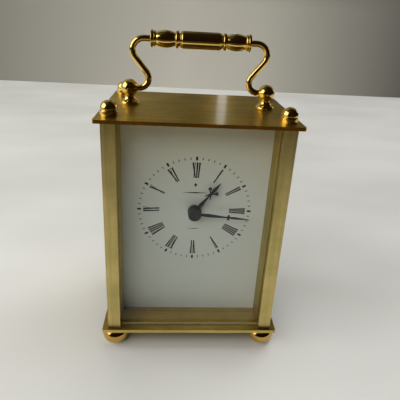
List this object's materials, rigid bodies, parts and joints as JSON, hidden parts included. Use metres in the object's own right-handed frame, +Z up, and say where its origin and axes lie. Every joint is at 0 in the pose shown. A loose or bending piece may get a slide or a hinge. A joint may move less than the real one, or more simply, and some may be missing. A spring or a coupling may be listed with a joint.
{
  "type": "mantel clock",
  "caption": "Brass carriage-style mantel clock with a folding handle, ball feet, glazed front, Roman dial, hinged rear door and quartz movement.",
  "frame": {"origin": "on the floor under the middle of the case, between the ball feet", "axes": "+Z up, the dial faces -Y, +X to the right of someone reading the dial"},
  "size_m": [0.092, 0.0662, 0.1588],
  "materials": {
    "brushed_brass": "lacquered brushed brass",
    "polished_brass": "polished and lacquered",
    "glass": "clear float glass",
    "dial": "matt off-white paint, printed in black",
    "hand_black": "satin black paint",
    "steel": "bright zinc-plated",
    "black_plastic": "moulded, finely textured",
    "wheel_plastic": "natural moulded acetal",
    "copper": "enamelled copper wire",
    "circuit_board": "green solder mask",
    "battery_sleeve": "printed plastic sleeve over a metal can"
  },
  "bodies": {
    "case": {"base_plate": "brushed_brass", "top_plate": "brushed_brass", "side_panel_left": "brushed_brass", "side_panel_right": "brushed_brass", "pillar_front_left": "brushed_brass", "tie_rod_front_left": "steel", "foot_front_left": "polished_brass", "finial_front_left": "polished_brass", "pillar_front_right": "brushed_brass", "tie_rod_front_right": "steel", "foot_front_right": "polished_brass", "finial_front_right": "polished_brass", "pillar_rear_left": "brushed_brass", "tie_rod_rear_left": "steel", "foot_rear_left": "polished_brass", "finial_rear_left": "polished_brass", "pillar_rear_right": "brushed_brass", "tie_rod_rear_right": "steel", "foot_rear_right": "polished_brass", "finial_rear_right": "polished_brass", "front_glass": "glass", "dial_plate": "dial", "dial_screw_lower_left": "steel", "dial_screw_lower_right": "steel", "dial_screw_upper_left": "steel", "dial_screw_upper_right": "steel", "movement_screw_left": "steel", "movement_screw_right": "steel", "door_hinge_pin": "steel", "door_catch": "steel", "handle_post_screw_left": "steel", "handle_post_screw_right": "steel", "stator": "steel", "quartz_crystal": "steel", "battery_contact_plus": "steel", "battery_contact_minus": "steel", "handle_post_left": "polished_brass", "handle_post_right": "polished_brass", "movement_case": "black_plastic", "movement_cover": "black_plastic", "coil": "copper", "circuit_board": "circuit_board", "battery": "battery_sleeve"},
    "handle": {"handle_grip": "polished_brass", "handle_arm_left": "polished_brass", "handle_arm_right": "polished_brass"},
    "rear_door": {"rear_door": "brushed_brass", "door_knob": "polished_brass"},
    "minute_hand": {"minute_hand": "hand_black", "hand_cap": "hand_black", "minute_arbor": "steel"},
    "hour_hand": {"hour_hand": "hand_black", "hour_wheel": "wheel_plastic"},
    "setting_knob": {"setting_knob": "black_plastic", "minute_wheel": "wheel_plastic"},
    "centre_wheel": {"centre_wheel": "wheel_plastic"},
    "third_wheel": {"third_wheel": "wheel_plastic"},
    "fourth_wheel": {"fourth_wheel": "wheel_plastic"},
    "fifth_wheel": {"fifth_wheel": "wheel_plastic"},
    "rotor": {"rotor": "steel"}
  },
  "joints": [
    {"name": "handle_fold", "type": "hinge", "parent": "case", "child": "handle", "pos_m": [0, 0, 0.1317], "axis": [1, 0, 0], "range_deg": [-98, 98]},
    {"name": "minute_hand_turn", "type": "hinge", "parent": "case", "child": "minute_hand", "pos_m": [0, -0.0165, 0.07475], "axis": [0, 1, 0], "continuous": true},
    {"name": "hour_hand_turn", "type": "hinge", "parent": "case", "child": "hour_hand", "pos_m": [0, -0.0165, 0.07475], "axis": [0, 1, 0], "continuous": true},
    {"name": "setting_knob_turn", "type": "hinge", "parent": "case", "child": "setting_knob", "pos_m": [0.0102, -0.0165, 0.07475], "axis": [0, 1, 0], "continuous": true},
    {"name": "rotor_turn", "type": "hinge", "parent": "case", "child": "rotor", "pos_m": [0.01091, -0.0165, 0.08711], "axis": [0, 1, 0], "continuous": true},
    {"name": "fifth_wheel_turn", "type": "hinge", "parent": "case", "child": "fifth_wheel", "pos_m": [0.00598, -0.0165, 0.08532], "axis": [0, 1, 0], "continuous": true},
    {"name": "fourth_wheel_turn", "type": "hinge", "parent": "case", "child": "fourth_wheel", "pos_m": [0.00066, -0.0165, 0.08625], "axis": [0, 1, 0], "continuous": true},
    {"name": "third_wheel_turn", "type": "hinge", "parent": "case", "child": "third_wheel", "pos_m": [-0.00519, -0.0165, 0.08216], "axis": [0, 1, 0], "continuous": true},
    {"name": "centre_wheel_turn", "type": "hinge", "parent": "case", "child": "centre_wheel", "pos_m": [0, -0.0165, 0.07475], "axis": [0, 1, 0], "continuous": true},
    {"name": "rear_door_swing", "type": "hinge", "parent": "case", "child": "rear_door", "pos_m": [-0.034, 0.028, 0.0678], "axis": [0, 0, 1], "range_deg": [0, 100]}
  ],
  "couplings": [
    {"joint": "hour_hand_turn", "follows": "minute_hand_turn", "ratio": 0.083333},
    {"joint": "setting_knob_turn", "follows": "minute_hand_turn", "ratio": -0.25},
    {"joint": "fifth_wheel_turn", "follows": "rotor_turn", "ratio": -0.16667},
    {"joint": "fourth_wheel_turn", "follows": "rotor_turn", "ratio": 0.033333},
    {"joint": "third_wheel_turn", "follows": "rotor_turn", "ratio": -0.0044444},
    {"joint": "centre_wheel_turn", "follows": "rotor_turn", "ratio": 0.00055556}
  ]
}
